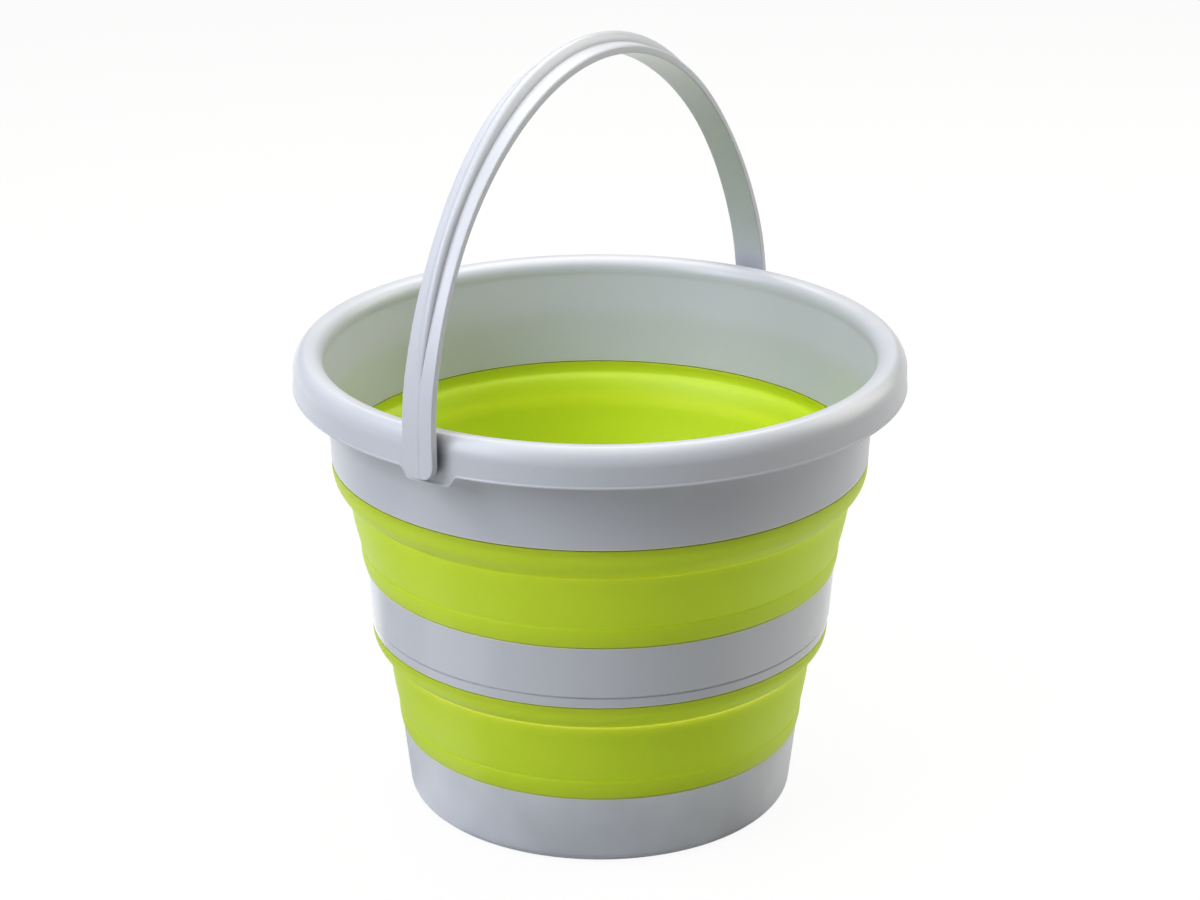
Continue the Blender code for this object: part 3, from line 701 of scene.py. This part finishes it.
def plastic(name, shades, roughness, peel, seams, painted_shade=0.0, scatter=0.0, glow=0.0):
    """A moulded plastic. shades are the two ends of its cloudiness and the painted line at its seams,
    roughness is (least, most), peel is (scale, depth in metres), and seams are heights in millimetres.
    painted_shade is how much painted shade darkens the corners, scatter the share of light that enters, and
    glow the strength of a painted glow of its own shade."""
    shade, deep, painted_seam_line = shades
    material = bpy.data.materials.new(name)
    material.use_nodes = True
    tree = material.node_tree
    shader = tree.nodes["Principled BSDF"]
    skin = node(tree, "ShaderNodeGroup", node_tree=moulded_skin)
    skin.inputs["Peel scale"].default_value = peel[0]
    spread = node(tree, "ShaderNodeMapRange", {"Value": skin.outputs["Cloud"], **CLOUD_RANGE})
    colour = mix_colour(tree, spread.outputs["Result"], deep, shade)
    # Painted light and shade at each seam: a lighter line on a hard ring, a darker one on a soft band.
    for seam in seams:
        edge = node(tree, "ShaderNodeGroup", node_tree=seam_edge)
        edge.inputs["Height"].default_value = seam * MM
        edge.inputs["Reach"].default_value = SEAM_REACH * MM
        colour = mix_colour(tree, edge.outputs["Mask"], colour, painted_seam_line)
    # Painted shade: where the Ambient Occlusion node finds a corner or a neighbouring piece close by, the
    # colour is darkened. This paints in the bail ears' shadow and the shade under the skirt.
    if painted_shade:
        near = node(tree, "ShaderNodeAmbientOcclusion", {"Distance": PAINTED_SHADE_REACH * MM}, samples=8)
        corner = node(tree, "ShaderNodeMapRange", {"Value": near.outputs["AO"], "From Min": PAINTED_SHADE_STARTS,
                                                   "From Max": PAINTED_SHADE_FULL, "To Min": 0.0, "To Max": painted_shade})
        colour = mix_colour(tree, corner.outputs["Result"], colour, PAINTED_CORNER_SHADE)
    low = node(tree, "ShaderNodeMapRange", {"Value": skin.outputs["Cloud"], **CLOUD_RANGE,
                                            "To Min": roughness[0], "To Max": roughness[1]})
    rough = node(tree, "ShaderNodeMath", {0: skin.outputs["Scuff"], 1: SCUFF_ROUGHNESS,
                                          2: low.outputs["Result"]}, operation="MULTIPLY_ADD")
    bump = node(tree, "ShaderNodeBump", {"Height": skin.outputs["Peel"], "Strength": 1.0,
                                         "Distance": peel[1]})
    tree.links.new(colour, shader.inputs["Base Color"])
    tree.links.new(rough.outputs["Value"], shader.inputs["Roughness"])
    tree.links.new(bump.outputs["Normal"], shader.inputs["Normal"])
    shader.inputs["Subsurface Weight"].default_value = scatter
    shader.inputs["Subsurface Scale"].default_value = SCATTER_DEPTH * MM
    shader.inputs["Subsurface Radius"].default_value = (1.0, 0.9, 0.7)
    # Painted glow: a piece gives off a little light of its own shade, which stands for light crossing its
    # thin wall.
    shader.inputs["Emission Color"].default_value = shade
    shader.inputs["Emission Strength"].default_value = glow
    return material


def mix_colour(tree, factor, first, second):
    """Mixes two colours, each a socket or a value, by a socket, and gives the result's socket."""
    made = tree.nodes.new("ShaderNodeMix")
    made.data_type = "RGBA"
    tree.links.new(factor, made.inputs["Factor"])
    for slot, value in ((6, first), (7, second)):
        if isinstance(value, bpy.types.NodeSocket):
            tree.links.new(value, made.inputs[slot])
        else:
            made.inputs[slot].default_value = value
    return made.outputs[2]


print("shade of a corner, linear:", np.round(PAINTED_CORNER_SHADE[:3], 3).tolist())

# %% [markdown]
# Moulding grades come as pellets of even colour, so one grey and one green do for every piece. Only the
# base cup's first grey is lighter, as painted light for the light that the white floor throws back onto the
# foot of the bucket. Its dark end stays the common grey, so its cloudiness spans further.

# %% Mix the two plastics
# The third colour of each plastic is painted at its seams. The greys' lighter, yellowish one is painted
# light, for light catching the thin rounded edge and the green shining through it. The greens' darker one is
# painted shade in the seam's groove.
GREY = screen(189, 192, 202), screen(184, 188, 198), screen(206, 210, 178)
# Painted light: the base cup's lighter grey stands for the light that the floor throws back onto the foot of
# the bucket.
GREY_BASE_LIT = screen(214, 218, 230), *GREY[1:]
LIME = screen(186, 210, 20), screen(183, 207, 16), screen(163, 183, 22)
# The rubber's glow is a painted glow of its own colour.
RUBBER = {"roughness": (0.46, 0.54), "peel": (700.0, 0.00003), "scatter": 0.6, "glow": 0.05}

collar_finish = plastic("collar_plastic", GREY, (0.30, 0.36), (420.0, 0.00002), [SEAM_COLLAR], painted_shade=0.8)
ring_finish = plastic("ring_plastic", GREY, (0.12, 0.17), (300.0, 0.00002),
                      [SEAM_RING_LOW, SEAM_RING_TOP], painted_shade=0.3)
base_finish = plastic("base_plastic", GREY_BASE_LIT, (0.42, 0.48), (900.0, 0.00003), [SEAM_BASE])
bail_finish = plastic("bail_plastic", GREY, (0.30, 0.36), (500.0, 0.00002), [])
upper_finish = plastic("upper_band_rubber", LIME, seams=[SEAM_COLLAR, SEAM_RING_TOP], **RUBBER)
lower_finish = plastic("lower_band_rubber", LIME, seams=[SEAM_RING_LOW, SEAM_BASE], **RUBBER)
print("finishes:", [made.name for made in bpy.data.materials if made.name.endswith(("plastic", "rubber"))])

# %% [markdown]
# ## Finishes on, and hard pieces onto their bodies
#
# A hard piece rides on the body that it belongs to. A soft band joins two bodies, and the real one rolls
# over when the bucket is pushed flat. Here, though, a band only gets its finish, with its place baked into
# its mesh: it rides on neither body, and the bodies and seam heights listed with it are not used.

# %% Dress and hang the pieces
def dress(piece, finish):
    """Gives a piece its one finish."""
    piece.data.materials.clear()
    piece.data.materials.append(finish)
    return piece


for piece, finish, name, body in (
        (base_cup, base_finish, "base_cup", "base"), (mid_ring, ring_finish, "mid_ring", "ring"),
        (rim_collar, collar_finish, "rim_collar", "collar"), (strap, bail_finish, "swing_bail", "bail")):
    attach(dress(piece, finish), body)
    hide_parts(name)
for piece in webs:
    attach(dress(piece, collar_finish), "collar")
for piece in pins:
    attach(dress(piece, bail_finish), "bail")
for piece, finish, name, bodies, low, high in (
        (lower_band, lower_finish, "lower_fold_band", ("base", "ring"), SEAM_BASE, SEAM_RING_LOW),
        (upper_band, upper_finish, "upper_fold_band", ("ring", "collar"), SEAM_RING_TOP, SEAM_COLLAR)):
    dress(piece, finish)
    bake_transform(piece)
    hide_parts(name)
print("dressed:", 6 + len(webs) + len(pins), "pieces")

# %% [markdown]
# ## Studio
#
# The bucket stands on a white floor. The camera sees that floor as white, with the soft shadow that
# the bucket leaves, and from below the floor is clear. A glossy wall mirrors the floor in front of it,
# and in a real studio that floor isn't evenly bright: it is bright near a lamp and dark before a screen.
# So mirrored rays see a brightness that changes round the bucket, and it stays put when the camera moves.

# %% Lay the floor
FLOOR_GLOW, FLOOR_HALF, FLOOR_DROP = 0.93, 12.0, 0.3
# Brightness of the mirrored floor, as (share of a turn about the bucket, brightness).
ROOM = [(0.0, 1.0), (0.17, 1.5), (0.25, 1.5), (0.275, 0.8), (0.36, 0.8), (0.375, 1.4), (0.45, 1.4),
        (0.47, 0.5), (0.585, 0.45), (0.61, 0.2), (0.72, 0.25), (0.77, 0.9), (1.0, 1.0)]


def floor_finish():
    """A glow for the camera and for reflections, mixed with a plain white that keeps the shadow. Its
    strength is 1 for the camera, and the ROOM ramp of arctan2(y, x) for a reflection."""
    material = bpy.data.materials.new("studio_floor")
    material.use_nodes = True
    tree = material.node_tree
    tree.nodes.clear()
    rays = node(tree, "ShaderNodeLightPath")
    seen = node(tree, "ShaderNodeMath", {0: rays.outputs["Is Camera Ray"], 1: rays.outputs["Is Glossy Ray"]},
                operation="MAXIMUM")
    share = node(tree, "ShaderNodeMath", {0: seen.outputs["Value"], 1: FLOOR_GLOW}, operation="MULTIPLY")
    shade = mix_colour(tree, rays.outputs["Is Camera Ray"], (0.56, 0.56, 0.55, 1.0), (0.9, 0.9, 0.9, 1.0))
    plain = node(tree, "ShaderNodeBsdfDiffuse", {"Color": shade})
    place = node(tree, "ShaderNodeSeparateXYZ", {0: node(tree, "ShaderNodeTexCoord").outputs["Object"]})
    angle = node(tree, "ShaderNodeMath", {0: place.outputs["Y"], 1: place.outputs["X"]}, operation="ARCTAN2")
    turn = node(tree, "ShaderNodeMath", {0: angle.outputs["Value"], 1: 1 / (2 * np.pi), 2: 1.0},
                operation="MULTIPLY_ADD")
    turn = node(tree, "ShaderNodeMath", {0: turn.outputs["Value"]}, operation="FRACT")
    room = node(tree, "ShaderNodeValToRGB", {"Fac": turn.outputs["Value"]})
    for place_round, _ in ROOM[1:-1]:
        room.color_ramp.elements.new(place_round)
    for stop, (place_round, light) in zip(room.color_ramp.elements, ROOM):
        stop.position, stop.color = place_round, (light / 2, light / 2, light / 2, 1.0)
    mirrored = node(tree, "ShaderNodeMath", {0: room.outputs["Color"], 1: 2.0}, operation="MULTIPLY")
    rest = node(tree, "ShaderNodeMath", {0: 1.0, 1: mirrored.outputs["Value"]}, operation="SUBTRACT")
    bright = node(tree, "ShaderNodeMath", {0: rays.outputs["Is Camera Ray"], 1: rest.outputs["Value"],
                                           2: mirrored.outputs["Value"]}, operation="MULTIPLY_ADD")
    glow = node(tree, "ShaderNodeEmission", {"Color": (1.0, 1.0, 1.0, 1.0),
                                             "Strength": bright.outputs["Value"]})
    lit = node(tree, "ShaderNodeMixShader", {0: share.outputs["Value"], 1: plain.outputs[0],
                                             2: glow.outputs[0]})
    side = node(tree, "ShaderNodeNewGeometry")
    clear = node(tree, "ShaderNodeBsdfTransparent")
    both = node(tree, "ShaderNodeMixShader", {0: side.outputs["Backfacing"], 1: lit.outputs[0],
                                              2: clear.outputs[0]})
    out = node(tree, "ShaderNodeOutputMaterial")
    tree.links.new(both.outputs[0], out.inputs["Surface"])
    return material


floor_points = FLOOR_HALF * np.array([[-1, -1], [1, -1], [1, 1], [-1, 1]])
floor_mesh = bpy.data.meshes.new("studio_floor")
floor_heights = np.full(len(floor_points), -FLOOR_DROP * MM)
floor_mesh.from_pydata(np.column_stack([floor_points, floor_heights]).tolist(), [], [(0, 1, 2, 3)])
floor = bpy.data.objects.new("studio_floor", floor_mesh)
bpy.context.scene.collection.objects.link(floor)
floor_mesh.materials.append(floor_finish())
brightness = [light for _, light in ROOM]
print("floor:", 2 * FLOOR_HALF, "m wide, mirrored at", min(brightness), "to", max(brightness))

# %% [markdown]
# Five large soft lamps make the light, so no edge of a shadow is hard. Two stand to the left of the
# camera and are a touch cool, as daylight from a window is. The one overhead, the one behind and the one
# at the right are a touch warm. That is why the bucket's left side looks bluer than its inside. The
# world itself adds very little, so that the creases stay dark.

# %% Set the world
def world_light(strength):
    """A plain world whose light is the given strength, and which the camera sees as white."""
    world = bpy.data.worlds.new("studio")
    bpy.context.scene.world = world
    world.use_nodes = True
    tree = world.node_tree
    tree.nodes.clear()
    rays = node(tree, "ShaderNodeLightPath")
    dim = node(tree, "ShaderNodeBackground", {"Color": (0.97, 0.98, 1.0, 1.0), "Strength": strength})
    white = node(tree, "ShaderNodeBackground", {"Color": (1.0, 1.0, 1.0, 1.0), "Strength": 1.0})
    both = node(tree, "ShaderNodeMixShader", {0: rays.outputs["Is Camera Ray"], 1: dim.outputs[0],
                                              2: white.outputs[0]})
    out = node(tree, "ShaderNodeOutputWorld")
    tree.links.new(both.outputs[0], out.inputs["Surface"])


world_light(0.05)
print("world:", bpy.context.scene.world.name)

# %% [markdown]
# A lamp's place is written as a photographer would say it: so far to the right of the camera, so high,
# and so far away. The camera is placed in the same way.

# %% Hang the lamps
CAMERA_TURN, CAMERA_RISE, CAMERA_AWAY, AIM_HEIGHT = 211.3, 20.96, 1.5728, 0.1881
COOL, WARM = (0.95, 0.99, 1.07), (1.04, 1.01, 0.9)


def from_camera(turn, rise, away):
    """A place round the bucket: turn is in degrees to the camera's right, rise above the floor."""
    around, up = np.radians(CAMERA_TURN + turn), np.radians(rise)
    return np.array([away * np.cos(up) * np.cos(around), away * np.cos(up) * np.sin(around),
                     AIM_HEIGHT + away * np.sin(up)])


def aimed(obj, place, target):
    """Puts a lamp or a camera at a place and turns its -Z to the target."""
    obj.location = place
    obj.rotation_mode = "QUATERNION"
    obj.rotation_quaternion = (Vector(target) - Vector(place)).to_track_quat("-Z", "Y")


def softbox(name, turn, rise, away, width, height, watts, colour):
    """A rectangular lamp of width by height metres, aimed at the bucket, which the camera doesn't see."""
    lamp = bpy.data.lights.new(name, "AREA")
    lamp.shape, lamp.size, lamp.size_y = "RECTANGLE", width, height
    lamp.energy, lamp.color = watts, colour
    obj = bpy.data.objects.new(name, lamp)
    obj.visible_camera = False
    bpy.context.scene.collection.objects.link(obj)
    aimed(obj, from_camera(turn, rise, away), (0, 0, AIM_HEIGHT))


softbox("key_lamp", -52, 32, 1.9, 0.9, 1.0, 15.0, COOL)
softbox("side_lamp", -74, 50, 1.9, 1.0, 1.0, 13, COOL)
softbox("top_lamp", 0, 77, 1.7, 1.5, 1.5, 19, WARM)
softbox("back_lamp", 180, 60, 1.8, 1.6, 1.2, 22, WARM)
softbox("right_lamp", 110, 27, 2.0, 1.3, 1.4, 20, WARM)
print("lamps:", {lamp.name: round(lamp.energy, 1) for lamp in bpy.data.lights})

# %% [markdown]
# ## Camera
#
# The camera stands where the photographer's did: about twenty degrees above the floor, one and a half
# metres away, with a long lens, and aimed at the middle of the bucket.

# %% Place the camera
FOCAL_PIXELS, PICTURE_WIDTH, SENSOR_WIDTH = 3010.4, 1200, 36.0
lens = bpy.data.cameras.new("camera")
lens.sensor_fit, lens.sensor_width = "HORIZONTAL", SENSOR_WIDTH
lens.lens = FOCAL_PIXELS * SENSOR_WIDTH / PICTURE_WIDTH
lens.clip_start, lens.clip_end = 0.05, 60.0
camera = bpy.data.objects.new("camera", lens)
bpy.context.scene.collection.objects.link(camera)
aimed(camera, from_camera(0, CAMERA_RISE, CAMERA_AWAY), (0, 0, AIM_HEIGHT))
bpy.context.scene.camera = camera
bpy.context.scene.view_settings.view_transform = "Standard"
print("lens:", round(lens.lens, 1), "mm")
